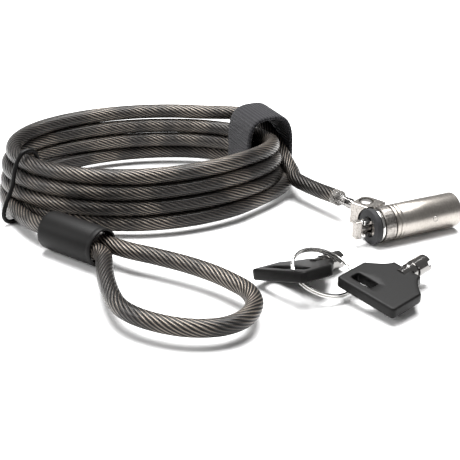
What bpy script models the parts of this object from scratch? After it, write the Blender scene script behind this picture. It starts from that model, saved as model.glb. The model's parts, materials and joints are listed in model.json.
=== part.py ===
"""Laptop cable lock: lock head, coiled steel cable with end loop, and two tubular keys on a ring.

The object lies on z = 0.  +X is to its right, +Y to its rear.  The origin is at the bottom centre of
the lock head and keys taken together.
"""
import math

import bmesh
import bpy
from mathutils import Matrix, Vector

MM = 0.001
GAP = 0.3                 # clearance kept between touching pieces, mm

# ---------------------------------------------------------------- driving dimensions, mm and degrees
CABLE_D = 5.5             # outer diameter of the sheathed cable
TURN_PITCH = 5.6          # height from one turn of the coil to the next
TURNS = 4

LOCK_FRONT = (3.6, 16.8)  # where the lock's axis meets the pad's front face, seen from above
LOCK_TURN = 25.0          # the lock's axis, turned from +X
BARREL_D = 12.8
BARREL_BACK = 35.6        # rear end of the barrel, measured from the pad's front face
WALL = 1.2

RIVET_AT = (3.7, 26.3)    # the rivet that the cable's eye turns on, seen from above
LUG_TURN = -42.0          # the lug's long direction, turned from +X
LUG_TOP = 12.2
LUG_BOTTOM = 4.2
SLOT_HALF = 1.3           # half the height of the slot that the eye sits in

SLEEVE_BACK = (-107.6, 14.4)
SLEEVE_FRONT = (-87.7, 0.1)
SLEEVE_D = 13.6

STRAP_T = 1.6             # thickness of the hook-and-loop strap
STRAP_W = 19.0
TIE_D = 1.2

BOW_T = 3.8               # thickness of a key's plastic bow
SHAFT_D = 6.2             # outer diameter of a key's tube
RING_R = 10.56
BOW_BACK = -5.2           # far end of the bow, measured from its slot's middle
BOW_HALF = 11.8
BOW_SHOULDER = 8.0
BOW_FRONT = 15.5
BOW_NECK_HALF = 5.6
SLOT_WIDE = 5.6
KEY_A_AT = (-26.3, -17.9, 6.85)
KEY_A_TURN = 42.8
KEY_A_NOSE_DOWN = 8.5
KEY_A_LEAN = -18.4        # the near side lifted where the bow lies over the ring
KEY_A_SLOT = (-8.5, 8.5)
KEY_B_AT = (0.25, -27.25, 5.45)
KEY_B_TURN = 41.8
KEY_B_NOSE_DOWN = -3.4
KEY_B_LEAN = 5.2
KEY_B_SLOT = (0.45, 8.65)
RING_WIRE = 0.9
RING_AT = (-14.96, -16.57, 6.47)
RING_TURN = 48.7
RING_TILT = 22.9

# The layout is drawn from a corner of the table; this moves the lock and keys' middle to the origin.
TO_ORIGIN = (-0.54, 0.60, 0.0)

SIDES = 32


# ---------------------------------------------------------------- materials
def material(name, colour, roughness, metallic=0.0):
    """A Principled material with a plain colour."""
    mat = bpy.data.materials.new(name)
    mat.use_nodes = True
    shader = mat.node_tree.nodes["Principled BSDF"]
    shader.inputs["Base Color"].default_value = (*colour, 1.0)
    shader.inputs["Roughness"].default_value = roughness
    shader.inputs["Metallic"].default_value = metallic
    return mat


def make_materials():
    return {
        "cable": material("cable_jacket", (0.07, 0.06, 0.05), 0.2),
        "moulding": material("black_moulding", (0.03, 0.03, 0.03), 0.45),
        "webbing": material("black_webbing", (0.02, 0.02, 0.02), 0.9),
        "tie": material("tie_vinyl", (0.02, 0.02, 0.02), 0.4),
        "clear": material("clear_sleeve", (0.6, 0.6, 0.6), 0.1),
        "nickel": material("satin_nickel", (0.62, 0.58, 0.53), 0.3, 1.0),
        "chrome": material("bright_chrome", (0.8, 0.8, 0.8), 0.08, 1.0),
        "steel": material("spring_steel", (0.5, 0.5, 0.5), 0.3, 1.0),
        "brass": material("pin_brass", (0.75, 0.55, 0.25), 0.3, 1.0),
        "rubber": material("pad_rubber", (0.03, 0.03, 0.03), 0.8),
    }


# ---------------------------------------------------------------- modelling helpers
def clear_scene():
    for obj in list(bpy.data.objects):
        bpy.data.objects.remove(obj, do_unlink=True)


def add(name, mesh_or_curve, mat=None, parent=None):
    """Link an object, parented without an inverse so that its data is in the parent's frame."""
    obj = bpy.data.objects.new(name, mesh_or_curve)
    bpy.context.collection.objects.link(obj)
    obj.parent = parent
    if mat:
        obj.data.materials.append(mat)
    return obj


def frame(name, at, turn=0.0, tilt=0.0):
    """An empty at a point in mm, tilted about its own X and then turned about the vertical."""
    empty = bpy.data.objects.new(name, None)
    bpy.context.collection.objects.link(empty)
    turned = Matrix.Rotation(math.radians(turn), 4, "Z") @ Matrix.Rotation(math.radians(tilt), 4, "X")
    empty.matrix_world = Matrix.Translation(Vector(at) * MM) @ turned
    return empty


def mesh_from(name, bm, sharp=35.0):
    bmesh.ops.recalc_face_normals(bm, faces=bm.faces)
    bmesh.ops.scale(bm, vec=(MM, MM, MM), verts=bm.verts)
    mesh = bpy.data.meshes.new(name)
    bm.to_mesh(mesh)
    bm.free()
    mesh.shade_smooth()
    mesh.set_sharp_from_angle(angle=math.radians(sharp))
    return mesh


def join_rings(bm, rings, closed=False):
    """Skin a list of vertex rings that all have the same count; a ring of one vertex is a pole."""
    pairs = list(zip(rings, rings[1:] + rings[:1])) if closed else list(zip(rings, rings[1:]))
    for a, b in pairs:
        count = max(len(a), len(b))
        for i in range(count):
            j = (i + 1) % count
            corners = [a[i % len(a)], a[j % len(a)], b[j % len(b)], b[i % len(b)]]
            bm.faces.new(list(dict.fromkeys(corners)))


def turned(name, profile, mat=None, parent=None, closed=False, sides=SIDES):
    """Turn a profile of (distance along X, radius) about the X axis.

    A closed profile makes a ring; an open one starts and ends on the axis.
    """
    bm = bmesh.new()
    rings = []
    for along, radius in profile:
        if radius == 0:
            rings.append([bm.verts.new((along, 0, 0))])
            continue
        steps = [math.tau * k / sides for k in range(sides)]
        rings.append([bm.verts.new((along, radius * math.cos(t), radius * math.sin(t))) for t in steps])
    join_rings(bm, rings, closed)
    return add(name, mesh_from(name, bm), mat, parent)


def disc(name, start, end, radius, mat=None, parent=None, chamfer=0.0, sides=SIDES):
    """A solid cylinder along X with a chamfer at both ends."""
    profile = [(start, 0), (start, radius - chamfer), (start + chamfer, radius),
               (end - chamfer, radius), (end, radius - chamfer), (end, 0)]
    if chamfer == 0.0:
        profile = [(start, 0), (start, radius), (end, radius), (end, 0)]
    return turned(name, profile, mat, parent, sides=sides)


def bundle(name, start, end, circle, radius, parent, sides=12):
    """One cylinder for each pin place, all along X, as a single cutter."""
    bm = bmesh.new()
    for y, z in pin_places(circle):
        steps = [math.tau * (k + 0.5) / sides for k in range(sides)]
        ends = [[bm.verts.new((x, y + radius * math.cos(t), z + radius * math.sin(t))) for t in steps]
                for x in (start, end)]
        join_rings(bm, ends)
        bm.faces.new(ends[0])
        bm.faces.new(ends[1])
    return add(name, mesh_from(name, bm), None, parent)


def pin_places(circle):
    """The pins' places round the axis; the first one is a little off the top."""
    angles = [math.radians(8) + math.tau * k / PIN_COUNT for k in range(PIN_COUNT)]
    return [(circle * math.cos(a), circle * math.sin(a)) for a in angles]


def ring(name, start, end, inner, outer, mat=None, parent=None, chamfer=0.0, sides=SIDES):
    """A tube along X with a chamfer on its outer edges."""
    profile = [(start, inner), (start, outer - chamfer), (start + chamfer, outer),
               (end - chamfer, outer), (end, outer - chamfer), (end, inner)]
    if chamfer == 0.0:
        profile = [(start, inner), (start, outer), (end, outer), (end, inner)]
    return turned(name, profile, mat, parent, closed=True, sides=sides)


def prism(name, outline, low, high, mat=None, parent=None, bevel=0.0, bevel_steps=2):
    """Extrude a flat outline of (x, y) from one height to another, with rounded edges."""
    bm = bmesh.new()
    bottom = [bm.verts.new((x, y, low)) for x, y in outline]
    top = [bm.verts.new((x, y, high)) for x, y in outline]
    bm.faces.new(bottom)
    bm.faces.new(top)
    join_rings(bm, [bottom, top])
    obj = add(name, mesh_from(name, bm), mat, parent)
    if bevel:
        rounding = obj.modifiers.new("rounding", "BEVEL")
        rounding.width = bevel * MM
        rounding.segments = bevel_steps
        rounding.limit_method = "ANGLE"
        rounding.angle_limit = math.radians(50)
    return obj


def box(name, low, high, mat=None, parent=None, bevel=0.0):
    (x0, y0, z0), (x1, y1, z1) = low, high
    return prism(name, [(x0, y0), (x1, y0), (x1, y1), (x0, y1)], z0, z1, mat, parent, bevel)


def post(name, at, low, high, radius, mat=None, parent=None, sides=16):
    """An upright cylinder."""
    steps = [math.tau * k / sides for k in range(sides)]
    outline = [(at[0] + radius * math.cos(t), at[1] + radius * math.sin(t)) for t in steps]
    return prism(name, outline, low, high, mat, parent)


def arc(centre, radius, start, end, steps):
    """Points along an arc, both ends included, angles in degrees."""
    angles = [math.radians(start + (end - start) * k / steps) for k in range(steps + 1)]
    return [(centre[0] + radius * math.cos(a), centre[1] + radius * math.sin(a)) for a in angles]


def combine(target, other, operation):
    """Cut, or join, another solid into the target; the other one becomes a guide."""
    step = target.modifiers.new(other.name, "BOOLEAN")
    step.operation = operation
    step.object = other
    step.solver = "EXACT"
    other.hide_render = True
    other.display_type = "WIRE"


def smooth_curve(points, per_span):
    """A Catmull-Rom curve through 3-D points, a fixed number of steps to each span."""
    pts = [Vector(p) for p in points]
    ends = [pts[0] * 2 - pts[1]] + pts + [pts[-1] * 2 - pts[-2]]
    out = []
    for a, b, c, d in zip(ends, ends[1:], ends[2:], ends[3:]):
        for k in range(per_span):
            t = k / per_span
            out.append(0.5 * (2 * b + (c - a) * t + (2 * a - 5 * b + 4 * c - d) * t ** 2
                              + (3 * b - a - 3 * c + d) * t ** 3))
    return out + [pts[-1]]


def tube(name, points, diameter, mat, resolution=2):
    """A solid round tube along a list of points."""
    curve = bpy.data.curves.new(name, "CURVE")
    curve.dimensions = "3D"
    curve.bevel_depth = diameter / 2 * MM
    curve.bevel_resolution = resolution
    curve.use_fill_caps = True
    spline = curve.splines.new("POLY")
    spline.points.add(len(points) - 1)
    for point, place in zip(spline.points, points):
        point.co = (*(Vector(place) * MM), 1.0)
    return add(name, curve, mat)


# ---------------------------------------------------------------- cable
# The strap and the tie pass under the coil, so it is lifted by their thickness.
LIFT_LEFT = 1.6
LIFT_RIGHT = 2.2
COIL_LEFT = -130.0
COIL_RIGHT = -27.0
FLOOR_Z = CABLE_D / 2 + 0.1

# One row to each turn, top to bottom: middle x, middle y, half length along X, half depth along Y.
COIL = [
    (-78.0, 62.0, 49.5, 35.0),
    (-77.5, 60.0, 50.5, 36.0),
    (-77.5, 58.0, 51.0, 37.0),
    (-75.0, 56.0, 48.5, 38.5),
]
RIGHT_END_SET_BACK = 8.0   # how far the coil's right end is drawn to the rear by the strap

# The stretch from the lock head to the coil, then from the coil to the sleeve, and the end loop.
TAIL_POINTS = [(-20.6, 63.0, 8.2), (-19.6, 57.2, 7.6), (-16.0, 51.6, 7.5), (-11.1, 45.6, 7.6),
               (-5.8, 39.0, 7.9), (-1.2, 33.0, 8.2)]
LEAD_POINTS = [(-62.0, 103.6, 4.9), (-84.0, 105.6, 4.7), (-103.0, 102.0, 4.6), (-119.5, 91.0, 4.5),
               (-129.0, 75.0, 4.5), (-131.5, 58.0, 4.5), (-127.6, 41.8, 4.6), (-119.0, 27.0, 5.3),
               (-112.2, 18.6, 6.3), (-105.7, 13.0, 6.8)]
LOOP_POINTS = [(-91.3, -0.9, 6.8), (-89.0, -2.7, 6.8), (-86.9, -6.2, 6.9), (-85.9, -11.5, 7.0),
               (-84.6, -20.0, 7.0), (-81.6, -31.0, 6.8), (-78.0, -38.6, 6.5), (-71.9, -44.2, 6.3),
               (-63.3, -48.2, 6.1), (-54.7, -49.8, 6.0), (-46.4, -48.6, 6.0), (-40.2, -43.8, 6.1),
               (-37.6, -36.0, 6.2), (-39.4, -28.6, 6.3), (-44.0, -23.2, 6.5), (-50.4, -17.6, 6.7),
               (-59.0, -12.0, 6.9), (-69.5, -6.6, 7.0), (-77.8, -2.8, 7.0), (-83.2, 0.6, 6.9),
               (-88.0, 3.9, 6.8)]


def coil_point(turn, angle, outward=0.0):
    """A point on a turn's centre line, moved outward square to the turn, seen from above."""
    cx, cy, a, b = COIL[turn]
    normal = Vector((b * math.cos(angle), a * math.sin(angle))).normalized()
    x = cx + a * math.cos(angle) + outward * normal.x
    along = (x - COIL_LEFT) / (COIL_RIGHT - COIL_LEFT)
    y = cy + b * math.sin(angle) + outward * normal.y + RIGHT_END_SET_BACK * along ** 2
    z = FLOOR_Z + (TURNS - 1 - turn) * TURN_PITCH + LIFT_LEFT + (LIFT_RIGHT - LIFT_LEFT) * along
    return Vector((x, y, z))


def coil_solid(mats):
    """The coil's outer shape: a ring of the four stacked turns."""
    segments = 48
    half = CABLE_D / 2
    corners = [(0, -1), (0, 1), (1, 1), (2, 1), (3, 1), (3, -1), (2, -1), (1, -1)]
    height = {0: half, TURNS - 1: -half}
    bm = bmesh.new()
    rings = []
    for step in range(segments):
        angle = math.tau * step / segments
        section = []
        for turn, side in corners:
            rise = height.get(turn, 0.0)
            edge = half - 1.0 if rise else half
            section.append(bm.verts.new(coil_point(turn, angle, side * edge) + Vector((0, 0, rise))))
        rings.append(section)
    join_rings(bm, rings, closed=True)
    return add("cable_coil", mesh_from("cable_coil", bm), mats["cable"])


def cable(mats):
    coil_solid(mats)
    tube("cable_tail", smooth_curve(TAIL_POINTS, 1), CABLE_D, mats["cable"])
    tube("cable_lead", smooth_curve(LEAD_POINTS, 2), CABLE_D, mats["cable"])
    tube("cable_loop", smooth_curve(LOOP_POINTS, 2), CABLE_D, mats["cable"])


def loop_sleeve(mats):
    """The moulded sleeve over the crimp that closes the end loop, with the crimp inside it."""
    back = Vector((*SLEEVE_BACK, SLEEVE_D / 2))
    front = Vector((*SLEEVE_FRONT, SLEEVE_D / 2))
    length = (front - back).length
    turn = math.degrees(math.atan2(front.y - back.y, front.x - back.x))
    axis = frame("sleeve_axis", back, turn)
    outer = SLEEVE_D / 2
    bore = outer - 0.9
    inset = 3.0
    ring("loop_sleeve", 0, length, bore, outer, mats["moulding"], axis, chamfer=0.6)
    disc("loop_crimp", inset, length - inset, bore - GAP, mats["steel"], axis, chamfer=0.5)


def strap_outline(extra):
    """The strap's loop seen along the coil: a tall arch on a flat foot, larger by an extra thickness."""
    middle, half, shoulder, rise, foot, corner = 0.8, 8.6, 12.0, 13.7, 1.9, 2.5
    steps = 24
    arch = []
    for k in range(steps + 1):
        across, up = math.cos(math.pi * k / steps), math.sin(math.pi * k / steps)
        x = middle + (half + extra) * math.copysign(abs(across) ** 0.65, across)
        arch.append((x, shoulder + (rise + extra) * abs(up) ** 0.65))
    radius = corner + extra
    low_left = arc((middle - half + corner, foot + corner), radius, 180, 270, 4)
    low_right = arc((middle + half - corner, foot + corner), radius, 270, 360, 4)
    return arch + low_left + low_right


def strap(mats):
    """The hook-and-loop strap round the coil at its right end."""
    axis = frame("strap_axis", (-33.5, 81.0, 0.0), 25.0)
    bm = bmesh.new()
    rings = []
    for (xi, zi), (xo, zo) in zip(strap_outline(0.0), strap_outline(STRAP_T)):
        places = [(xi, -1, zi), (xo, -1, zo), (xo, 1, zo), (xi, 1, zi)]
        rings.append([bm.verts.new((x, side * STRAP_W / 2, z)) for x, side, z in places])
    join_rings(bm, rings, closed=True)
    add("storage_strap", mesh_from("storage_strap", bm), mats["webbing"], axis)


def twist_tie(mats):
    """The wire tie round the coil and the lead at the left, a closed loop square to the turns."""
    angle = math.radians(215)
    start = coil_point(0, angle)
    outward = (coil_point(0, angle, 1.0) - start).to_2d()
    low = TIE_D / 2 + 0.05
    corners = [(-4.2, 21.5), (-2.6, 25.0), (0.0, 26.0), (3.2, 25.0), (6.0, 20.5), (8.0, 14.0), (11.6, 7.6),
               (12.6, 3.6), (10.4, low + 0.2), (5.0, low), (1.0, low), (-3.0, low + 0.2), (-5.4, 3.6), (-5.2, 12.0)]
    points = [(start.x + n * outward.x, start.y + n * outward.y, z) for n, z in corners]
    loop = tube("twist_tie", points, TIE_D, mats["tie"])
    loop.data.splines[0].use_cyclic_u = True


# ---------------------------------------------------------------- lock head
def cable_end(mats):
    """The cable's flat steel eye, the crimp that holds it on, and the clear sleeve over the crimp."""
    tail_end = Vector(TAIL_POINTS[-1])
    turn = math.degrees(math.atan2(RIVET_AT[1] - tail_end.y, RIVET_AT[0] - tail_end.x))
    reach = (Vector(RIVET_AT) - tail_end.to_2d()).length
    axis = frame("eye_axis", (*RIVET_AT, tail_end.z), turn)
    radius = 2.3
    neck = 1.4
    outline = arc((0, 0), radius, -140, 140, 20) + [(-reach + 1.4, neck), (-reach + 1.4, -neck)]
    eye = prism("cable_eye", outline, -SLOT_HALF + GAP, SLOT_HALF - GAP, mats["steel"], axis)
    combine(eye, post("eye_hole", (0, 0), -3, 3, 1.4), "DIFFERENCE")
    bpy.data.objects["eye_hole"].parent = axis
    clear = ring("clear_end_sleeve", -reach - 7.0, -reach + 0.8, CABLE_D / 2 + 0.35, CABLE_D / 2 + 0.75,
                 mats["clear"], axis, sides=24)
    return eye, clear


def lug(mats, lock):
    """The collar round the lock's neck, with the lug that the cable's eye turns in, and its rivet."""
    bore = 4.9
    collar = ring("swivel_collar", 3.9, 8.0, bore - 0.5, BARREL_D / 2, mats["nickel"], lock, chamfer=0.3)
    rivet_frame = frame("rivet_axis", (*RIVET_AT, 0.0), LUG_TURN)
    front_face, back_face, cable_face, lock_face = -4.8, 4.2, -3.6, 5.6
    outline = ([(cable_face, front_face), (lock_face, front_face), (lock_face, back_face)]
               + arc((0, 0), 4.2, 90, 150, 8))
    combine(collar, prism("lug_block", outline, LUG_BOTTOM, LUG_TOP, None, rivet_frame, bevel=0.5), "UNION")
    around = BARREL_D / 2 + 0.4
    clearance = [(-4.0, 0), (-4.0, around), (3.6, around), (3.6, bore), (8.2, bore), (8.2, around), (16.0, around),
                 (16.0, 0)]
    combine(collar, turned("lock_clearance", clearance, None, lock), "DIFFERENCE")
    middle = (LUG_TOP + LUG_BOTTOM) / 2
    slot = box("eye_slot", (-6.0, -3.3, middle - SLOT_HALF), (3.6, 6.0, middle + SLOT_HALF), None, rivet_frame)
    combine(collar, slot, "DIFFERENCE")
    upright = frame("rivet_upright", (*RIVET_AT, 0.0))
    upright.rotation_mode = "XYZ"
    upright.rotation_euler = (0, -math.pi / 2, 0)
    seat = [(0, 0), (0, 1.5), (LUG_TOP - 0.9, 1.5), (LUG_TOP - 0.9, 2.7), (LUG_TOP + 3, 2.7), (LUG_TOP + 3, 0)]
    combine(collar, turned("rivet_seat", seat, None, upright, sides=24), "DIFFERENCE")
    rivet = [(LUG_BOTTOM + 0.1, 0), (LUG_BOTTOM + 0.1, 1.1), (LUG_TOP - 0.6, 1.1), (LUG_TOP - 0.6, 2.3),
             (LUG_TOP - 0.2, 2.1), (LUG_TOP + 0.05, 1.2), (LUG_TOP + 0.1, 0)]
    turned("clevis_rivet", rivet, mats["steel"], upright, sides=24)


def barrel(mats, lock):
    """The barrel shell, the front housing that the collar turns on, and the pad and ring before it."""
    outer = BARREL_D / 2
    inner = outer - WALL
    groove = 0.25
    profile = [(8.3, inner), (8.3, outer - 0.3), (8.6, outer), (9.6, outer), (9.6 + groove, outer - groove),
               (9.6 + 2 * groove, outer), (BARREL_BACK - 0.5, outer), (BARREL_BACK, outer - 0.5),
               (BARREL_BACK, inner)]
    shell = turned("barrel_shell", profile, mats["nickel"], lock, closed=True)
    housing = turned("front_housing", [(0.6, 1.7), (0.6, 3.3), (2.3, 3.3), (2.3, 4.6), (8.3, 4.6), (8.3, 4.9),
                                       (12.0, 4.9), (12.0, 1.7)], mats["nickel"], lock, closed=True)
    ring("retaining_ring", 2.3, 3.5, 4.9, outer - 0.3, mats["chrome"], lock, chamfer=0.2)
    pad = ring("rubber_pad", 0.0, 2.0, 3.6, outer, mats["rubber"], lock, chamfer=0.35)
    return shell, housing, pad


def locking_bar(mats, lock, housing):
    """The hammer-headed bar that turns behind the laptop's slot, and the two posts beside it."""
    bar = disc("locking_bar", -4.4, 12.0, 1.2, mats["nickel"], lock, sides=20)
    head = box("bar_head", (-5.8, -1.4, -3.3), (-3.4, 1.4, 3.3), None, lock, bevel=0.35)
    combine(bar, head, "UNION")
    for side, name in ((1, "upper"), (-1, "lower")):
        low, high = sorted((side * 1.55, side * 3.1))
        box(f"guide_post_{name}", (-2.6, -1.3, low), (5.0, 1.3, high), mats["chrome"], lock, bevel=0.25)
        seat = box(f"{name}_post_seat", (0.0, -1.6, low - GAP), (5.3, 1.6, high + GAP), None, lock)
        combine(housing, seat, "DIFFERENCE")


PIN_COUNT = 7
PIN_CIRCLE = 2.75
PIN_R = 0.4
PIN_BORE_R = 0.62
SHEAR = 27.65             # where the plug meets the core
PLUG_FACE = 31.8          # bottom of the keyway's groove


def lock_core(mats, lock, shell):
    """The fixed core, the turning plug, seven pin stacks with their springs, and the keyway's bezel."""
    outer = BARREL_D / 2 - WALL - GAP
    start = 17.6
    core = turned("lock_core", [(start, 1.7), (start, outer), (PLUG_FACE, outer), (PLUG_FACE, 4.2),
                                (SHEAR - 0.15, 4.2), (SHEAR - 0.15, 1.7)], mats["brass"], lock, closed=True)
    plug = turned("lock_plug", [(12.3, 0), (12.3, 1.4), (SHEAR + 0.15, 1.4), (SHEAR + 0.15, 3.9),
                                (PLUG_FACE, 3.9), (PLUG_FACE, 1.95), (BARREL_BACK - 0.4, 1.95),
                                (BARREL_BACK - 0.4, 0)], mats["brass"], lock)
    ring("keyway_bezel", PLUG_FACE + GAP, BARREL_BACK - 0.2, 3.4, outer, mats["chrome"], lock)
    bore_bottom = 20.0
    combine(core, bundle("core_bores", bore_bottom, SHEAR + 0.3, PIN_CIRCLE, PIN_BORE_R, lock), "DIFFERENCE")
    combine(plug, bundle("plug_bores", SHEAR - 0.3, PLUG_FACE + 1.0, PIN_CIRCLE, PIN_BORE_R, lock), "DIFFERENCE")
    for k, (y, z) in enumerate(pin_places(PIN_CIRCLE), 1):
        key_pin = disc(f"key_pin_{k}", 29.4, PLUG_FACE - 0.1, PIN_R, mats["brass"], lock, 0.12, 10)
        driver = disc(f"driver_pin_{k}", 25.4, SHEAR - 0.3, PIN_R, mats["steel"], lock, 0.12, 10)
        coil = spring(f"pin_spring_{k}", bore_bottom + 0.25, 25.1, mats, lock)
        for piece in (key_pin, driver, coil):
            piece.location = Vector((0, y, z)) * MM
    barrel_pin(mats, lock, shell, core)


def spring(name, start, end, mats, lock):
    """A small compression spring along X."""
    wire, radius, turns, per_turn = 0.16, 0.36, 6, 8
    steps = turns * per_turn
    points = []
    for k in range(steps + 1):
        angle = math.tau * k / per_turn
        along = start + (end - start) * k / steps
        points.append((along, radius * math.cos(angle), radius * math.sin(angle)))
    coil = tube(name, points, wire, mats["steel"], resolution=0)
    coil.parent = lock
    return coil


def barrel_pin(mats, lock, shell, core):
    """The round cross pin that holds the core in the barrel."""
    at, radius, rise = 24.0, 0.9, 10.0
    pin_frame = bpy.data.objects.new("barrel_pin_axis", None)
    bpy.context.collection.objects.link(pin_frame)
    pin_frame.parent = lock
    pin_frame.location = (at * MM, 0, 0)
    pin_frame.rotation_euler = (math.radians(-rise), 0, math.radians(-90))
    pin_frame.rotation_mode = "XYZ"
    outer = BARREL_D / 2
    disc("barrel_pin", 4.4, outer - 0.1, radius, mats["steel"], pin_frame, 0.15, 16)
    hole = disc("barrel_pin_hole", 4.1, outer + 2, radius + 0.15, None, pin_frame, sides=16)
    combine(shell, hole, "DIFFERENCE")
    combine(core, hole, "DIFFERENCE")


# ---------------------------------------------------------------- keys
def key(mats, letter, at, turn, nose_down, lean, slot_span):
    """A tubular key: a six-sided plastic bow with a slot along its far edge, and a steel tube.

    Local X runs along the tube and local Y along the slot, through the place where the key swings.
    """
    place = frame(f"key_{letter}_slot", at)
    place.rotation_euler = [math.radians(angle) for angle in (lean, nose_down, turn)]
    side = [(BOW_BACK, BOW_HALF - 1.4), (BOW_BACK + 1.4, BOW_HALF), (BOW_SHOULDER - 1.0, BOW_HALF)]
    scoop = [(BOW_SHOULDER + 1.6, BOW_HALF - 1.3), (BOW_SHOULDER + 4.0, BOW_HALF - 3.9), (BOW_FRONT, BOW_NECK_HALF)]
    upper = side + scoop
    outline = upper + [(x, -y) for x, y in reversed(upper)]
    bow = prism(f"key_{letter}_bow", outline, -BOW_T / 2, BOW_T / 2, mats["moulding"], place, bevel=0.6)
    low, high = slot_span
    slot = box(f"key_{letter}_slot_cut", (-SLOT_WIDE / 2, low, -5), (SLOT_WIDE / 2, high, 5), None, place)
    combine(bow, slot, "DIFFERENCE")
    outer = SHAFT_D / 2
    start, end = BOW_FRONT - 5.0, BOW_FRONT + 9.0
    socket = disc(f"key_{letter}_socket", start - GAP, BOW_FRONT + 5, outer + 0.05 + GAP / 2, None, place, sides=24)
    combine(bow, socket, "DIFFERENCE")
    profile = [(start, 0), (start, outer - 0.6), (BOW_FRONT + 2.2, outer - 0.6), (BOW_FRONT + 2.2, outer),
               (end, outer), (end, outer - 0.8), (end - 5.0, outer - 0.8), (end - 5.0, 0)]
    shaft = turned(f"key_{letter}_tube", profile, mats["chrome"], place, sides=24)
    combine(shaft, bundle(f"key_{letter}_cuts", end - 1.2, end + 1, outer - 0.25, 0.5, place, 8), "DIFFERENCE")


def split_ring(mats):
    """Two close turns of wire that carry the keys, a helix with its ends cut square."""
    axis = frame("ring_axis", RING_AT, RING_TURN, RING_TILT)
    per_turn = 40
    turns = 2
    rise = RING_WIRE + 0.08
    points = []
    for k in range(turns * per_turn - 1):
        angle = math.tau * k / per_turn
        lift = rise * (k / per_turn - turns / 2)
        points.append((RING_R * math.cos(angle), RING_R * math.sin(angle), lift))
    coil = tube("split_ring", points, RING_WIRE, mats["steel"])
    coil.parent = axis


# ---------------------------------------------------------------- the whole object
def main():
    clear_scene()
    mats = make_materials()
    cable(mats)
    loop_sleeve(mats)
    strap(mats)
    twist_tie(mats)
    cable_end(mats)
    lock = frame("barrel_axis", (*LOCK_FRONT, BARREL_D / 2), LOCK_TURN)
    lug(mats, lock)
    shell, housing, _ = barrel(mats, lock)
    locking_bar(mats, lock, housing)
    lock_core(mats, lock, shell)
    key(mats, "a", KEY_A_AT, KEY_A_TURN, KEY_A_NOSE_DOWN, KEY_A_LEAN, KEY_A_SLOT)
    key(mats, "b", KEY_B_AT, KEY_B_TURN, KEY_B_NOSE_DOWN, KEY_B_LEAN, KEY_B_SLOT)
    split_ring(mats)
    for obj in bpy.data.objects:
        if obj.parent is None:
            obj.location += Vector(TO_ORIGIN) * MM


main()
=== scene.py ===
import json
import math

import bpy
import numpy as np
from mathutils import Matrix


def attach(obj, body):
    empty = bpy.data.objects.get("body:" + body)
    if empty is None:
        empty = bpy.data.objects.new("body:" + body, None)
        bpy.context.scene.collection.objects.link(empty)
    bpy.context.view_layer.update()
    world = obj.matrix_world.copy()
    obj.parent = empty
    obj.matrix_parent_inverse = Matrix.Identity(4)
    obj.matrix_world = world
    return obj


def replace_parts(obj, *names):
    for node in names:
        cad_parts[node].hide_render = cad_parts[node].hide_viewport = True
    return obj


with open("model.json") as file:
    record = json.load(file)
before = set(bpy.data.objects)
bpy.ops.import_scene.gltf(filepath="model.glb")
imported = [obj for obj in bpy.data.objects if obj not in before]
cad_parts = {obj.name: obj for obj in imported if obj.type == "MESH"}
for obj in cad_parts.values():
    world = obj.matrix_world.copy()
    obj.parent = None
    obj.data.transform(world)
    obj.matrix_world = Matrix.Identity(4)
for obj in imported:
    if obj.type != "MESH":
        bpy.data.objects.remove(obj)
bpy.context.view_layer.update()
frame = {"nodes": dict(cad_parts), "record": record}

MM = 0.001
TO_ORIGIN = np.array([-0.54, 0.60, 0.0])     # the layout's shift to the part's origin, mm
TAU = 2 * np.pi

CABLE_D = 5.5
TURNS = 4
TURN_PITCH = 5.5
SHEATH_D = 5.75                              # over the sheath, a little more than the cable's stated size
FLOOR_Z = CABLE_D / 2 + 0.1
LIFT_LEFT, LIFT_RIGHT = 1.6, 2.2
COIL_LEFT, COIL_RIGHT = -130.0, -27.0
RIGHT_END_SET_BACK = 8.0
COIL = np.array([(-78.0, 59.65, 49.6, 34.75), (-78.4, 57.95, 51.1, 34.35),
                 (-78.35, 56.5, 51.65, 34.1), (-75.8, 56.15, 49.2, 34.95)])

LOCK_AT = np.array([3.6, 16.8, 6.4])
LOCK_TURN = math.radians(25.0)
BARREL_BACK = 35.6
RIVET_AT = np.array([3.7, 26.3])


# ---------------------------------------------------------------- camera and the lamp maker
def look(name, lens, at, tilt_deg):
    camera = bpy.data.cameras.new(name)
    camera.lens, camera.sensor_width, camera.clip_start = lens, 36.0, 0.01
    obj = bpy.data.objects.new(name, camera)
    obj.location = at
    obj.rotation_euler = (math.radians(tilt_deg), 0.0, 0.0)
    bpy.context.collection.objects.link(obj)
    bpy.context.scene.camera = obj


def lamp(name, at, aim, size, power):
    """A soft square lamp that faces a point."""
    light = bpy.data.lights.new(name, "AREA")
    light.shape, light.size, light.energy = "SQUARE", size, power
    obj = bpy.data.objects.new(name, light)
    obj.location = at
    way = (np.array(aim) - np.array(at)) / np.linalg.norm(np.array(aim) - np.array(at))
    obj.rotation_euler = (math.acos(-way[2]), 0.0, math.atan2(way[1], way[0]) - math.pi / 2)
    bpy.context.collection.objects.link(obj)


look("viewpoint", 78.26, (-0.04554, -0.29840, 0.160), 63.895)


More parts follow.
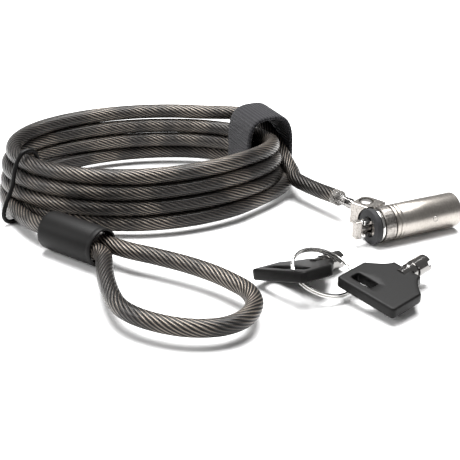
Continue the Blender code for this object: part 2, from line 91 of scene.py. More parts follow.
# ---------------------------------------------------------------- shader sums
class Value:
    """One output of a node; sums on it add Math nodes."""

    def __init__(self, finish, socket):
        self.finish, self.socket = finish, socket

    def sum(self, operation, *others):
        sockets = dict(enumerate((self, *others)))
        return self.finish.add("ShaderNodeMath", {"operation": operation}, sockets)

    def __add__(self, other):
        return self.sum("ADD", other)

    def __mul__(self, other):
        return self.sum("MULTIPLY", other)

    def __sub__(self, other):
        return self.sum("SUBTRACT", other)

    def __rsub__(self, other):
        return self.sum("MULTIPLY", -1.0) + other

    __radd__ = __add__
    __rmul__ = __mul__

    def wave(self):
        """Half of one plus the sine: 0 to 1 and back in each turn."""
        return self.sum("MULTIPLY", TAU).sum("SINE") * 0.5 + 0.5

    def ramp(self, low, high):
        """0 below low, 1 above high, smooth between."""
        return self.finish.add("ShaderNodeMapRange", {"interpolation_type": "SMOOTHSTEP"},
                               {"Value": self, "From Min": low, "From Max": high})


class Finish:
    """A material: a Principled shader whose fixed numbers are set on its own sockets."""

    def __init__(self, name, **fixed):
        self.material = bpy.data.materials.new(name)
        self.material.use_nodes = True
        self.tree = self.material.node_tree
        self.shader = self.tree.nodes["Principled BSDF"]
        for socket, value in fixed.items():
            self.shader.inputs[socket.replace("_", " ").title().replace("Ior", "IOR")].default_value = value

    def add(self, kind, settings=None, sockets=None, out=0):
        node = self.tree.nodes.new(kind)
        for key, value in (settings or {}).items():
            setattr(node, key, value)
        for key, value in (sockets or {}).items():
            if isinstance(value, Value):
                self.tree.links.new(value.socket, node.inputs[key])
            else:
                node.inputs[key].default_value = value
        return Value(self, node.outputs[out])

    def feed(self, socket, value):
        self.tree.links.new(value.socket, self.shader.inputs[socket])

    def mix(self, share, first, second):
        """The first colour where share is 0, the second where it is 1."""
        return self.add("ShaderNodeMix", {"data_type": "RGBA"}, {0: share, 6: first, 7: second}, out=2)

    def noise(self, scale, detail=3.0, where=None, stretch=None):
        where = where or self.add("ShaderNodeTexCoord", out=3)
        if stretch:
            where = self.add("ShaderNodeMapping", {}, {"Vector": where, "Scale": stretch})
        return self.add("ShaderNodeTexNoise", {}, {"Vector": where, "Scale": scale, "Detail": detail})

    def uv(self, axis):
        """One coordinate of the piece's own map."""
        both = self.add("ShaderNodeUVMap", {"uv_map": "surface"})
        return self.add("ShaderNodeSeparateXYZ", {}, {0: both}, out=axis)

    def uv_place(self):
        return self.add("ShaderNodeUVMap", {"uv_map": "surface"})

    def bump(self, height, strength, distance):
        self.feed("Normal", self.add("ShaderNodeBump", {}, {"Height": height, "Strength": strength,
                                                            "Distance": distance}))


def steel_rope_in_sheath():
    """A right-hand laid steel rope seen through a smoky, glossy sheath.

    The map's first coordinate is the turn round the cable and its second the way along it in mm. A strand is a
    ridge of constant turn plus way over the lay; each strand's wires cross it the other way. The base colour is
    painted light: a bronze painted highlight on the strand and wire crowns, near-black painted shade in the grooves.
    """
    strands, lay, wires, wire_lay = 15, 36.0, 36, 9.0
    rope = Finish("cable_sheath", metallic=0.55, coat_weight=0.22, coat_roughness=0.20, coat_ior=1.4)
    turn, way = rope.uv(0), rope.uv(1)
    wobble = rope.noise(0.35, 2.0, rope.uv_place(), (4.0, 1.0, 1.0)) * 0.10
    strand = (turn * strands - way * (strands / lay) + wobble).wave()
    wire = (turn * wires + way * (wires / wire_lay / 3.0) + wobble * 2.0).wave()
    # painted highlight on the strand and wire crowns, painted shade in the grooves between them
    painted_crown_highlight = strand.ramp(0.50, 1.0)
    light = painted_crown_highlight * (0.72 + 0.28 * wire)
    patch = rope.noise(55.0, 3.0)
    bronze = rope.mix(patch.ramp(0.40, 0.60), (0.25, 0.21, 0.172, 1.0), (0.050, 0.042, 0.036, 1.0))
    # base colour: near-black painted shade in the grooves, bronze painted highlight on the crowns
    rope.feed("Base Color", rope.mix(light, (0.0022, 0.0018, 0.0016, 1.0), bronze))
    rope.feed("Roughness", 0.46 - 0.16 * light)
    rope.bump(strand + 0.12 * wire, 0.55, 0.0005)
    return rope.material


def black_moulding(name="black_moulding", grain=1400.0, roughness=0.42):
    """Satin black plastic with a fine spark-eroded grain."""
    plastic = Finish(name, specular_ior_level=0.14)
    fine, broad = plastic.noise(grain, 2.0), plastic.noise(90.0, 4.0)
    plastic.feed("Base Color", plastic.mix(broad, (0.0034, 0.0032, 0.0032, 1.0), (0.0070, 0.0066, 0.0064, 1.0)))
    plastic.feed("Roughness", roughness + 0.10 * broad + 0.06 * fine)
    plastic.bump(fine, 0.16, 0.0001)
    return plastic.material


def woven_webbing():
    """Ribbed hook-and-loop webbing: ribs across the strap, crossed by the weave's finer threads."""
    cloth = Finish("strap_weave", sheen_weight=0.12, sheen_roughness=0.5, specular_ior_level=0.15)
    way, across = cloth.uv(1), cloth.uv(0)
    rib = (way * 0.85).wave()
    thread = (across * 1.5 + (way * 0.425).wave() * 0.5).wave()
    weave = rib * 0.62 + thread * 0.38
    fuzz = cloth.noise(2600.0, 3.0)
    cloth.feed("Base Color", cloth.mix(weave * 0.75 + fuzz * 0.25, (0.004, 0.004, 0.005, 1.0),
                                       (0.034, 0.033, 0.037, 1.0)))
    cloth.feed("Roughness", 0.78 + 0.16 * fuzz)
    cloth.bump(weave + 0.35 * fuzz, 0.75, 0.0004)
    return cloth.material


def satin_nickel(name="satin_nickel", turned=False):
    """Nickel plate with a fine tumbled speckle, or with turning lines round a turned piece."""
    metal = Finish(name, metallic=1.0)
    speck, cloud = metal.noise(1500.0, 2.0), metal.noise(60.0, 3.0)
    if turned:
        line = metal.noise(3.2, 4.0, metal.uv_place(), (0.6, 1.0, 1.0))
        tooth = line * 0.6 + speck * 0.4
    else:
        tooth = speck
    dark, light = ((0.30, 0.275, 0.25, 1.0), (0.47, 0.44, 0.405, 1.0)) if turned else (
        (0.13, 0.122, 0.114, 1.0), (0.40, 0.375, 0.35, 1.0))
    metal.feed("Base Color", metal.mix((cloud * 0.4 + tooth * 0.6).ramp(0.3, 0.7), dark, light))
    metal.feed("Roughness", 0.22 + 0.16 * tooth + 0.05 * cloud)
    metal.bump(tooth, 0.10, 0.0001)
    return metal.material


def polished(name, dark, light, roughness, scratch=0.05):
    """Bright plate or turned metal with faint scratches and a slight clouding."""
    metal = Finish(name, metallic=1.0)
    hair = metal.noise(700.0, 3.0, stretch=(1.0, 0.12, 1.0))
    cloud = metal.noise(120.0, 2.0)
    metal.feed("Base Color", metal.mix(cloud, dark, light))
    metal.feed("Roughness", roughness + scratch * hair + 0.03 * cloud)
    metal.bump(hair, 0.03, 0.0001)
    return metal.material


def pad_rubber():
    rubber = Finish("pad_rubber", specular_ior_level=0.3)
    pore, cloud = rubber.noise(1900.0, 3.0), rubber.noise(160.0, 3.0)
    rubber.feed("Base Color", rubber.mix(cloud * 0.6 + pore * 0.4, (0.010, 0.010, 0.011, 1.0),
                                         (0.040, 0.040, 0.042, 1.0)))
    rubber.feed("Roughness", 0.62 + 0.22 * pore)
    rubber.bump(pore, 0.35, 0.0002)
    return rubber.material


def clear_tube():
    """Clear shrink tube: see-through where it is thin, milky where it has wrinkled."""
    film = Finish("clear_sleeve", roughness=0.08, coat_weight=0.6, coat_roughness=0.04)
    crease = film.noise(260.0, 3.0, stretch=(1.0, 1.0, 2.0)).ramp(0.45, 0.7)
    film.feed("Base Color", film.mix(crease, (0.42, 0.40, 0.38, 1.0), (0.62, 0.60, 0.57, 1.0)))
    film.feed("Alpha", 0.08 + 0.22 * crease)
    film.bump(crease, 0.4, 0.0002)
    return film.material


ROPE = steel_rope_in_sheath()
PLASTIC = black_moulding()
BOW_PLASTIC = black_moulding("bow_plastic", 1100.0, 0.36)
TIE_VINYL = black_moulding("tie_vinyl", 900.0, 0.30)
WEBBING = woven_webbing()
NICKEL = satin_nickel()
TUBE_CHROME = polished("tube_plate", (0.16, 0.155, 0.15, 1.0), (0.34, 0.33, 0.32, 1.0), 0.10)
TURNED_NICKEL = satin_nickel("turned_nickel", turned=True)
CHROME = polished("bright_chrome", (0.60, 0.59, 0.57, 1.0), (0.80, 0.79, 0.77, 1.0), 0.07)
STEEL = polished("plain_steel", (0.42, 0.41, 0.39, 1.0), (0.60, 0.58, 0.56, 1.0), 0.22, 0.12)
BRASS = polished("turned_brass", (0.62, 0.44, 0.17, 1.0), (0.78, 0.60, 0.28, 1.0), 0.24, 0.10)
RUBBER = pad_rubber()
CLEAR = clear_tube()
SLOT_FINISH = {"cable": ROPE, "moulding": PLASTIC, "webbing": WEBBING, "tie": TIE_VINYL, "clear_sleeve": CLEAR,
               "nickel": NICKEL, "chrome": CHROME, "steel": STEEL, "brass": BRASS, "rubber": RUBBER}


# ---------------------------------------------------------------- surfaces
def ease(t):
    """A smooth step from 0 to 1."""
    t = np.clip(t, 0.0, 1.0)
    return t * t * (3 - 2 * t)


def through(points, per_span):
    """A Catmull-Rom curve through points: each span is the usual cubic of its four nearest points."""
    p = np.asarray(points, float)
    p = np.vstack([2 * p[0] - p[1], p, 2 * p[-1] - p[-2]])
    t = (np.arange(per_span) / per_span)[None, :, None]
    a, b, c, d = (p[k:len(p) - 3 + k, None, :] for k in range(4))
    spans = 0.5 * (2 * b + (c - a) * t + (2 * a - 5 * b + 4 * c - d) * t ** 2 + (3 * b - a - 3 * c + d) * t ** 3)
    return np.vstack([spans.reshape(-1, p.shape[1]), p[-2]])


def evenly(points, step):
    """The same line with its points an even step apart."""
    way = np.concatenate([[0.0], np.cumsum(np.linalg.norm(np.diff(points, axis=0), axis=1))])
    marks = np.linspace(0.0, way[-1], int(round(way[-1] / step)) + 1)
    return np.stack([np.interp(marks, way, points[:, k]) for k in range(points.shape[1])], 1)


def unit(v):
    return v / np.linalg.norm(v, axis=-1, keepdims=True)


def skin(name, grid, finish, body, round_rows=False, round_cols=True, ends=True, uv=None, shade=None):
    """A mesh over a grid of points in mm: rows along the piece, columns round it, open ends closed with a fan."""
    rows, cols = grid.shape[:2]
    verts = grid.reshape(-1, 3)
    i = np.arange(rows if round_rows else rows - 1)
    j = np.arange(cols if round_cols else cols - 1)
    i, j = (m.ravel() for m in np.meshgrid(i, j, indexing="ij"))
    i1, j1 = (i + 1) % rows, (j + 1) % cols
    quads = np.stack([i * cols + j, i * cols + j1, i1 * cols + j1, i1 * cols + j], 1)
    if uv is None:
        uv = np.stack(np.meshgrid(np.arange(rows + 1.0), np.arange(cols + 1.0), indexing="ij"), -1)
    corner_uv = np.stack([uv[i, j], uv[i, j + 1], uv[i + 1, j + 1], uv[i + 1, j]], 1).reshape(-1, 2)
    faces = [quads.ravel()]
    sizes = [np.full(len(quads), 4)]
    if ends and not round_rows:
        k = np.arange(cols)
        tips = np.stack([grid[0].mean(0), grid[-1].mean(0)])
        first, last = len(verts), len(verts) + 1
        verts = np.vstack([verts, tips])
        cap_a = np.stack([np.full(cols, first), (k + 1) % cols, k], 1)
        cap_b = np.stack([np.full(cols, last), (rows - 1) * cols + k, (rows - 1) * cols + (k + 1) % cols], 1)
        faces += [cap_a.ravel(), cap_b.ravel()]
        sizes += [np.full(2 * cols, 3)]
        corner_uv = np.vstack([corner_uv, np.zeros((6 * cols, 2))])
    sizes = np.concatenate(sizes)
    mesh = bpy.data.meshes.new(name)
    mesh.vertices.add(len(verts))
    mesh.vertices.foreach_set("co", ((verts + TO_ORIGIN) * MM).astype(np.float32).ravel())
    mesh.loops.add(int(sizes.sum()))
    mesh.loops.foreach_set("vertex_index", np.concatenate(faces).astype(np.int32))
    mesh.polygons.add(len(sizes))
    mesh.polygons.foreach_set("loop_start", (np.cumsum(sizes) - sizes).astype(np.int32))
    mesh.update(calc_edges=True)
    mesh.uv_layers.new(name="surface").data.foreach_set("uv", corner_uv.astype(np.float32).ravel())
    mesh.validate()
    mesh.shade_smooth()
    mesh.set_sharp_from_angle(angle=math.radians(shade or 40.0))
    mesh.materials.append(finish)
    obj = bpy.data.objects.new(name, mesh)
    bpy.context.collection.objects.link(obj)
    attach(obj, body)
    return obj


def pipe(name, line, radius, finish, body, sides=24, closed=False, frame_up=(0, 0, 1.0)):
    """A round tube: at each point of a line, a circle square to it, its first point towards frame_up."""
    line = np.asarray(line, float)
    if closed:
        ahead = unit(np.roll(line, -1, 0) - np.roll(line, 1, 0))
    else:
        ahead = unit(np.gradient(line, axis=0))
    side = unit(np.cross(ahead, np.asarray(frame_up, float)))
    up = np.cross(side, ahead)
    angle = TAU * np.arange(sides) / sides
    grid = line[:, None] + radius * (np.cos(angle)[None, :, None] * up[:, None]
                                     + np.sin(angle)[None, :, None] * side[:, None])
    way = np.concatenate([[0.0], np.cumsum(np.linalg.norm(np.diff(line, axis=0), axis=1))])
    way = np.append(way, way[-1] + 1.0)
    uv = np.stack(np.meshgrid(way, np.arange(sides + 1) / sides, indexing="ij")[::-1], -1)
    return skin(name, grid, finish, body, round_rows=closed, uv=uv)


def lathe(name, at, along, profile, finish, body, slot, sides=96, closed=True, smooth=30.0, trim=None):
    """A turned shape: a profile of (way along, radius) carried round an axis. trim moves points by their turn."""
    profile = np.asarray(profile, float)
    along = unit(np.asarray(along, float))
    side = unit(np.cross(along, (0, 0, 1.0)))
    up = np.cross(side, along)
    angle = TAU * np.arange(sides) / sides
    way = np.repeat(profile[:, 0][:, None], sides, 1)
    if trim is not None:
        way = trim(way, angle[None, :])
    ring = np.cos(angle)[:, None] * up + np.sin(angle)[:, None] * side
    grid = np.asarray(at, float) + way[:, :, None] * along + profile[:, 1][:, None, None] * ring[None]
    run = np.concatenate([[0.0], np.cumsum(np.linalg.norm(np.diff(profile, axis=0), axis=1))])
    run = np.append(run, run[-1] + 0.5)
    uv = np.stack(np.meshgrid(run, np.arange(sides + 1) / sides * 8.0, indexing="ij"), -1)[..., ::-1]
    return skin(name, grid, finish, body, round_rows=closed, ends=not closed, uv=uv, shade=smooth)


# ---------------------------------------------------------------- cable
def coil_points(turn, angle, outward=0.0):
    """Points on the stacked turns: an oval whose row in COIL is read between whole turns, set back at its right."""
    row = np.clip(turn, 0, TURNS - 1)
    cx, cy, a, b = (np.interp(row, np.arange(TURNS), COIL[:, k]) for k in range(4))
    normal = unit(np.stack([b * np.cos(angle), a * np.sin(angle)], -1))
    x = cx + a * np.cos(angle) + outward * normal[..., 0]
    along = (x - COIL_LEFT) / (COIL_RIGHT - COIL_LEFT)
    y = cy + b * np.sin(angle) + outward * normal[..., 1] + RIGHT_END_SET_BACK * along ** 2
    z = FLOOR_Z + (TURNS - 1 - row) * TURN_PITCH + LIFT_LEFT + (LIFT_RIGHT - LIFT_LEFT) * along
    return np.stack([x, y, z], -1)


def strap_place(x, y, z):
    """A place in the strap's own directions: x across its opening, y through it to the rear."""
    c, s = math.cos(LOCK_TURN), math.sin(LOCK_TURN)
    return (-33.5 + c * x - s * y, 81.0 + s * x + c * y, z)


TAIL = [(-4.4, 37.2, 8.2), (-6.9, 40.5, 8.0), (-11.1, 45.6, 7.6), (-16.0, 51.6, 7.5), (-19.6, 57.2, 7.6),
        (-20.6, 63.0, 8.2)]
THROUGH_STRAP = [strap_place(6.1, -8.5, 11.3), strap_place(6.3, -1.0, 14.7), strap_place(5.0, 7.0, 18.3),
                 strap_place(1.0, 14.5, 20.6)]
LEAD = [(-62.0, 103.6, 4.9), (-84.0, 105.6, 4.7), (-103.0, 102.0, 4.6), (-119.5, 91.0, 4.5),
        (-129.0, 75.0, 4.5), (-131.5, 58.0, 4.5), (-127.6, 41.8, 4.6), (-119.0, 27.0, 5.3),
        (-112.2, 18.6, 6.3), (-105.7, 13.0, 6.8)]
LOOP = [(-91.3, -0.9, 6.8), (-89.0, -2.7, 6.8), (-86.9, -6.2, 6.9), (-85.9, -11.5, 7.0), (-84.6, -20.0, 7.0),
        (-81.6, -31.0, 6.8), (-78.0, -38.6, 6.5), (-71.9, -44.2, 6.3), (-63.3, -48.2, 6.1), (-54.7, -49.8, 6.0),
        (-46.4, -48.6, 6.0), (-40.2, -43.8, 6.1), (-37.6, -36.0, 6.2), (-39.4, -28.6, 6.3), (-44.0, -23.2, 6.5),
        (-50.4, -17.6, 6.7), (-59.0, -12.0, 6.9), (-69.5, -6.6, 7.0), (-77.8, -2.8, 7.0), (-83.2, 0.6, 6.9),
        (-88.0, 3.9, 6.8), (-93.0, 7.4, 6.8), (-98.0, 11.0, 6.8)]


def cable_route():
    """The whole cable: tail, four turns that each drop a row inside the strap, then the lead and the end loop."""
    start, step = 66.0, 12.0
    angle = np.radians(np.arange(start, 360.0 * TURNS - 30.0, step))
    turn = np.floor((angle + math.pi * 50 / 180) / TAU)
    phase = np.degrees(angle) - 360.0 * turn
    row = turn - 1 + ease((phase + 50.0) / 100.0)
    in_strap = np.exp(-((phase - 20.0) / 26.0) ** 2)
    turns = coil_points(row, angle, -1.3 * in_strap)
    last = np.radians(np.array([-16.0, 2.0, 20.0, 38.0, 56.0]))
    leaving = coil_points(np.full(5, TURNS - 1.0), last, np.array([2.4, 4.4, 4.6, 5.3, 6.0]))
    return evenly(through(np.vstack([TAIL, THROUGH_STRAP, turns, leaving, LEAD, LOOP]), 12), 1.1)


route = cable_route()
cable = pipe("cable", route, SHEATH_D / 2, ROPE, "cable", sides=28)
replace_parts(cable, "cable_coil", "cable_tail", "cable_lead", "cable_loop")


# ---------------------------------------------------------------- strap, tie and sleeve
def strap_line(extra, steps=72):
    """The strap's loop seen along the coil: an arch squarer than an oval on a flat foot with round corners."""
    middle, half, shoulder, rise, foot, corner = 0.8, 8.6, 12.0, 13.7, 1.9, 2.5
    t = np.linspace(0.0, np.pi, steps)
    arch = np.stack([middle + (half + extra) * np.sign(np.cos(t)) * np.abs(np.cos(t)) ** 0.65,
                     shoulder + (rise + extra) * np.abs(np.sin(t)) ** 0.65], 1)
    bend = np.linspace(np.pi, 1.5 * np.pi, 8)
    left = np.stack([middle - half + corner + (corner + extra) * np.cos(bend),
                     foot + corner + (corner + extra) * np.sin(bend)], 1)
    right = np.stack([2 * middle - left[::-1, 0], left[::-1, 1]], 1)
    line = np.vstack([arch, left, right, arch[:1]])
    return evenly(line, 0.5)


def strap():
    """The strap as a band: its loop carried along, its section a flat bar with rounded selvedges and small ribs."""
    width, thick = 19.0, 1.6
    line = strap_line(thick / 2)[:-1]
    ahead = unit(np.roll(line, -1, 0) - np.roll(line, 1, 0))
    out = np.stack([ahead[:, 1], -ahead[:, 0]], 1)
    count = len(line)
    v = np.linspace(-1, 1, 15)
    edge = np.radians(np.linspace(-60, 60, 5))
    top = np.stack([v * (width / 2 - 0.8), np.full(15, thick / 2)], 1)
    far = np.stack([width / 2 - 0.8 + 0.8 * np.cos(edge[::-1]), thick / 2 * np.sin(edge[::-1])], 1)
    section = np.vstack([top, far, top[::-1] * (1, -1), far[::-1] * (-1, 1)])
    rib = 0.10 * np.sin(TAU * np.arange(count) / 3.0)[:, None] * (np.abs(section[:, 1]) > thick * 0.4)[None, :]
    offset = section[:, 1][None, :] + rib * np.sign(section[:, 1])[None, :] * 0.5 - 0.05
    x = line[:, 0][:, None] + out[:, 0][:, None] * offset
    z = line[:, 1][:, None] + out[:, 1][:, None] * offset
    y = np.repeat(section[:, 0][None, :], count, 0)
    grid = np.stack(strap_place(x, y, z), -1)
    run = np.arange(count + 1) * 0.5
    across = np.append(section[:, 0], section[0, 0])
    uv = np.stack(np.meshgrid(run, across, indexing="ij")[::-1], -1)
    return skin("storage_strap_weave", grid, WEBBING, "cable", round_rows=True, uv=uv, shade=60.0)


strap_band = strap()
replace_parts(strap_band, "storage_strap")


def twist_tie():
    """A thin tie round all the turns and the lead: a closed curve square to the coil."""
    angle = math.radians(215)
    start = coil_points(0, np.array(angle))
    outward = unit((coil_points(0, np.array(angle), 1.0) - start)[:2])
    low = 0.85
    corners = np.array([(-4.2, 21.5), (-2.6, 25.0), (0.0, 26.0), (3.2, 25.0), (6.0, 20.5), (8.0, 14.0), (11.6, 7.6),
                        (12.6, 3.6), (10.4, low + 0.2), (5.0, low), (1.0, low), (-3.0, low + 0.2), (-5.4, 3.6),
                        (-5.2, 12.0), (-4.2, 21.5), (-2.6, 25.0), (0.0, 26.0)])
    line = np.column_stack([start[0] + corners[:, 0] * outward[0], start[1] + corners[:, 0] * outward[1],
                            corners[:, 1]])
    ring = through(line, 10)[10:150]
    return pipe("twist_tie_wire", ring, 0.8, TIE_VINYL, "cable", sides=12, closed=True,
                frame_up=(-outward[1], outward[0], 0.0))


tie = twist_tie()
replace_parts(tie, "twist_tie")


SLEEVE_BACK, SLEEVE_FRONT = np.array([-107.6, 14.4, 6.8]), np.array([-87.7, 0.1, 6.8])
SLEEVE_LONG = float(np.linalg.norm(SLEEVE_FRONT - SLEEVE_BACK))
sleeve_profile = [(0.0, 5.9), (0.0, 6.3), (0.25, 6.6), (0.7, 6.75), (1.6, 6.8), (SLEEVE_LONG - 2.2, 6.8),
                  (SLEEVE_LONG - 1.9, 6.72), (SLEEVE_LONG - 1.6, 6.8), (SLEEVE_LONG - 0.5, 6.78),
                  (SLEEVE_LONG - 0.12, 6.6), (SLEEVE_LONG, 6.3), (SLEEVE_LONG - 0.1, 6.0),
                  (SLEEVE_LONG - 0.6, 5.9)]
sleeve = lathe("loop_sleeve_shell", SLEEVE_BACK, SLEEVE_FRONT - SLEEVE_BACK, sleeve_profile, PLASTIC,
               "cable", "moulding")
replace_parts(sleeve, "loop_sleeve")


# ---------------------------------------------------------------- lock head
LOCK_AXIS = np.array([math.cos(LOCK_TURN), math.sin(LOCK_TURN), 0.0])


def on_lock(name, profile, finish, slot, node, body="lock_body", **more):
    piece = lathe(name, LOCK_AT, LOCK_AXIS, profile, finish, body, slot, **more)
    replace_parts(piece, node)
    return piece


on_lock("barrel_shell_turned",
        [(8.3, 5.2), (8.3, 6.1), (8.42, 6.3), (8.6, 6.4), (9.5, 6.4), (9.62, 6.34), (9.75, 6.15), (9.88, 6.15),
         (10.0, 6.34), (10.12, 6.4), (11.1, 6.4), (11.2, 6.36), (11.3, 6.4), (22.0, 6.4), (BARREL_BACK - 0.6, 6.4),
         (BARREL_BACK - 0.25, 6.33), (BARREL_BACK - 0.05, 6.12), (BARREL_BACK, 5.9), (BARREL_BACK, 5.2)],
        TURNED_NICKEL, "nickel", "barrel_shell", sides=128)
on_lock("retaining_ring_turned",
        [(2.3, 4.9), (2.3, 5.8), (2.45, 6.05), (2.65, 6.1), (3.2, 6.1), (3.4, 6.0), (3.5, 5.8), (3.5, 4.9)],
        CHROME, "chrome", "retaining_ring")
on_lock("rubber_pad_turned",
        [(0.3, 3.6), (0.12, 3.7), (0.0, 3.9), (0.0, 5.9), (0.08, 6.15), (0.25, 6.33), (0.5, 6.4), (1.7, 6.4),
         (1.9, 6.34), (2.0, 6.15), (2.0, 3.6)],
        RUBBER, "rubber", "rubber_pad")
on_lock("keyway_bezel_turned",
        [(32.1, 3.4), (32.1, 4.9), (35.1, 4.9), (35.35, 4.8), (35.4, 4.6), (35.4, 3.9), (35.2, 3.6), (34.8, 3.4)],
        CHROME, "chrome", "keyway_bezel")


def barrel_pin_head():
    """The cross pin's head: a shallow dish with a domed middle, in a fine ring."""
    rise = math.radians(10.0)
    side = np.array([LOCK_AXIS[1], -LOCK_AXIS[0], 0.0])
    way = math.cos(rise) * side + math.sin(rise) * np.array([0.0, 0.0, 1.0])
    profile = [(5.2, 1.05), (6.40, 1.05), (6.50, 1.0), (6.50, 0.86), (6.30, 0.76), (6.22, 0.55), (6.32, 0.30),
               (6.40, 0.08)]
    return lathe("barrel_pin_head", LOCK_AT + 24.0 * LOCK_AXIS, way, profile, TUBE_CHROME, "lock_body", "steel",
                 sides=32, closed=False)


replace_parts(barrel_pin_head(), "barrel_pin")

tail_end = np.array(TAIL[0])
eye_way = np.array([*(RIVET_AT - tail_end[:2]), 0.0])
eye_reach = float(np.linalg.norm(eye_way))
ferrule = lathe("cable_end_ferrule", tail_end, eye_way,
                [(-2.0, 0.05), (-2.0, 1.7), (0.4, 1.75), (4.6, 1.75), (4.9, 1.95), (6.0, 1.95), (6.3, 1.7), (7.7, 1.6),
                 (7.9, 1.4), (7.9, 0.05)], TUBE_CHROME, "cable", "steel", sides=48, closed=False)
clear_profile = [(-2.6, 2.98), (-2.6, 3.1), (-1.2, 3.12), (0.2, 3.08), (0.9, 2.6), (1.6, 2.2), (4.2, 2.15), (4.2, 1.98),
                 (1.7, 2.02), (0.8, 2.4), (0.1, 2.94), (-1.2, 2.98)]
clear = lathe("clear_end_tube", tail_end, eye_way, clear_profile, CLEAR, "cable", "clear_sleeve", sides=48)
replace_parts(clear, "clear_end_sleeve")


# ---------------------------------------------------------------- keys and ring
BOW_BACK, BOW_HALF, BOW_SHOULDER, BOW_FRONT, BOW_NECK = -5.2, 11.8, 8.0, 15.5, 5.6
BOW_THICK = 3.8
SLOT_HALF = 1.9
TUBE_R = 3.1


def turned_by(turn, nose_down, lean):
    """The rotation of a key: leaned about its tube, its nose dropped, then turned about the vertical."""
    c, b, a = (math.radians(v) for v in (turn, nose_down, lean))
    about_z = np.array([[math.cos(c), -math.sin(c), 0], [math.sin(c), math.cos(c), 0], [0, 0, 1]])
    about_y = np.array([[math.cos(b), 0, math.sin(b)], [0, 1, 0], [-math.sin(b), 0, math.cos(b)]])
    about_x = np.array([[1, 0, 0], [0, math.cos(a), -math.sin(a)], [0, math.sin(a), math.cos(a)]])
    return about_z @ about_y @ about_x


def bow_edge():
    """Half of the bow's edge, from the middle of its far side to the middle of its neck, sides scooped inward."""
    far = BOW_HALF - 1.3
    corner = np.radians(np.linspace(180, 90, 9))
    rounded = np.stack([BOW_BACK + 1.3 + 1.3 * np.cos(corner), far + 1.3 * np.sin(corner)], 1)
    t = np.linspace(0.0, 1.0, 16)
    scoop = np.stack([BOW_SHOULDER + (BOW_FRONT - BOW_SHOULDER) * t + 1.1 * np.sin(np.pi * t) * 0.5,
                      BOW_HALF - 0.1 - (BOW_HALF - BOW_NECK) * t - 1.5 * np.sin(np.pi * t)], 1)
    back = np.stack([np.full(8, BOW_BACK), np.linspace(0, far - 0.5, 8)], 1)
    side = np.stack([np.linspace(BOW_BACK + 2.2, BOW_SHOULDER - 0.6, 8), np.full(8, BOW_HALF)], 1)
    neck = np.stack([np.full(5, BOW_FRONT), np.linspace(BOW_NECK - 0.5, 0.0, 5)], 1)
    return np.vstack([back, rounded, side, scoop, neck])


def bow(name, at, turn, place, slot_span):
    """The bow: a plate with one slot, as a ring of sections from the slot's wall over the top to the edge and back."""
    half = bow_edge()
    edge = evenly(np.vstack([half, half[-2::-1] * (1, -1)]), 0.7)[:-1]
    low, high = slot_span
    middle = np.array([0.0, (low + high) / 2])
    reach = np.array([SLOT_HALF, (high - low) / 2])
    way = edge - middle
    power = 8.0
    inner = middle + way * (1.0 / ((np.abs(way) / reach) ** power).sum(1) ** (1 / power))[:, None]
    ahead = unit(np.roll(edge, -1, 0) - np.roll(edge, 1, 0))
    outward = np.stack([-ahead[:, 1], ahead[:, 0]], 1)
    outward *= np.sign((outward * (edge - np.array([4.0, 0.0]))).sum(1))[:, None]
    thick = BOW_THICK / 2
    soft = 0.75
    inward = unit(way)
    bend = np.radians([0, 22.5, 45, 67.5, 90])
    upper = [(inner, thick - 0.5), (inner + inward * 0.12, thick - 0.16), (inner + inward * 0.5, thick)]
    for share in (0.25, 0.5, 0.75, 0.92):
        upper.append((inner + (edge - outward * soft - inner) * share, thick))
    upper += [(edge - outward * soft * (1 - math.sin(b)), thick - soft + soft * math.cos(b)) for b in bend]
    columns = upper + [(flat, -z) for flat, z in upper[::-1]]
    grid = np.stack([np.column_stack([flat, np.full(len(edge), z)]) for flat, z in columns], 1)
    grid = grid @ turn.T + at
    return skin(name, grid[:, ::-1], BOW_PLASTIC, place, round_rows=True, shade=50.0)


def key_tube(name, at, turn, place):
    """The key's tube: a hollow turned end with a notch in its rim, and a bright collar where it meets the bow."""
    start, end = BOW_FRONT - 3.5, BOW_FRONT + 9.0
    profile = [(start, 0.05), (start, 2.5), (BOW_FRONT + 0.1, 2.5), (BOW_FRONT + 0.4, 2.9), (BOW_FRONT + 2.0, 2.9),
               (BOW_FRONT + 2.3, 2.55), (BOW_FRONT + 2.7, 2.55), (BOW_FRONT + 3.0, TUBE_R), (end - 1.6, TUBE_R),
               (end - 0.2, TUBE_R), (end, TUBE_R - 0.15), (end, 2.45), (end - 0.2, 2.3), (end - 1.6, 2.3),
               (end - 5.0, 2.3), (end - 5.0, 0.05)]

    def notch(way, angle):
        wide = np.abs((angle - 1.15 + np.pi) % TAU - np.pi) < 0.30
        narrow = np.abs((angle - 4.0 + np.pi) % TAU - np.pi) < 0.22
        cut = wide | narrow
        return np.where(cut & (way > end - 0.5), way - 1.5, way)

    return lathe(name, at, turn @ np.array([1.0, 0, 0]), profile, TUBE_CHROME, place, "chrome", sides=72,
                 closed=False, trim=notch)


KEYS = {"a": ((-26.3, -17.9, 6.85), (42.8, 8.5, -18.4), (-8.5, 8.5)),
        "b": ((0.25, -27.25, 5.45), (41.8, -3.4, 5.2), (0.45, 8.65))}
for letter, (spot, pose, span) in KEYS.items():
    held = turned_by(*pose)
    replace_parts(bow(f"key_{letter}_bow_moulded", np.array(spot), held, f"key_{letter}", span), f"key_{letter}_bow")
    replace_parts(key_tube(f"key_{letter}_tube_turned", np.array(spot), held, f"key_{letter}"), f"key_{letter}_tube")


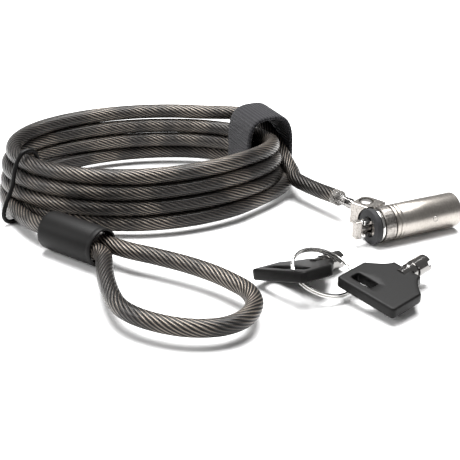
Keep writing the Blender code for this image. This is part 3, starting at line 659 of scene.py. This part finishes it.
def split_ring():
    """Two close turns of wire: a helix about the ring's tilted axis, its ends ground square."""
    at, turn, tilt, radius, wire = np.array([-14.96, -16.57, 6.47]), math.radians(48.7), math.radians(22.9), 10.56, 0.9
    across = np.array([math.cos(turn), math.sin(turn), 0.0])
    up_slope = np.array([-math.sin(turn) * math.cos(tilt), math.cos(turn) * math.cos(tilt), math.sin(tilt)])
    axis = np.cross(across, up_slope)
    t = np.linspace(0.0, 2 * TAU * 79 / 80, 240)
    lift = (wire + 0.08) * (t / TAU - 1.0)
    line = at + radius * (np.cos(t)[:, None] * across + np.sin(t)[:, None] * up_slope) + lift[:, None] * axis
    return pipe("split_ring_wire", line, wire / 2, CHROME, "key_ring", sides=14, frame_up=axis)


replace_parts(split_ring(), "split_ring")

# ---------------------------------------------------------------- finishes of the nodes that stay
slots = {part["node"]: part["material_slot"] for part in frame["record"]["subparts"]}
for node, obj in frame["nodes"].items():
    obj.data.materials.clear()
    obj.data.materials.append(SLOT_FINISH[slots[node]])

# ---------------------------------------------------------------- floor, light and air
floor_mesh = bpy.data.meshes.new("floor")
floor_mesh.from_pydata([(-6, -6, 0), (6, -6, 0), (6, 6, 0), (-6, 6, 0)], [], [(0, 1, 2, 3)])
floor = bpy.data.objects.new("floor", floor_mesh)
bpy.context.collection.objects.link(floor)
paper = Finish("white_paper", roughness=0.9, specular_ior_level=0.1)
paper.feed("Base Color", paper.mix(paper.noise(3.0), (0.93, 0.93, 0.93, 1.0), (0.95, 0.95, 0.95, 1.0)))
floor_mesh.materials.append(paper.material)

lamp("overhead", (-0.05, 0.22, 0.70), (-0.05, 0.02, 0.0), 0.60, 16.5)
lamp("left_fill", (-0.75, -0.15, 0.45), (-0.05, 0.0, 0.0), 0.35, 3.0)
world = bpy.data.worlds.new("studio")
world.use_nodes = True
bpy.context.scene.world = world
world.node_tree.nodes["Background"].inputs["Color"].default_value = (1.0, 1.0, 1.0, 1.0)
world.node_tree.nodes["Background"].inputs["Strength"].default_value = 0.24
bpy.context.scene.view_settings.view_transform = "Standard"
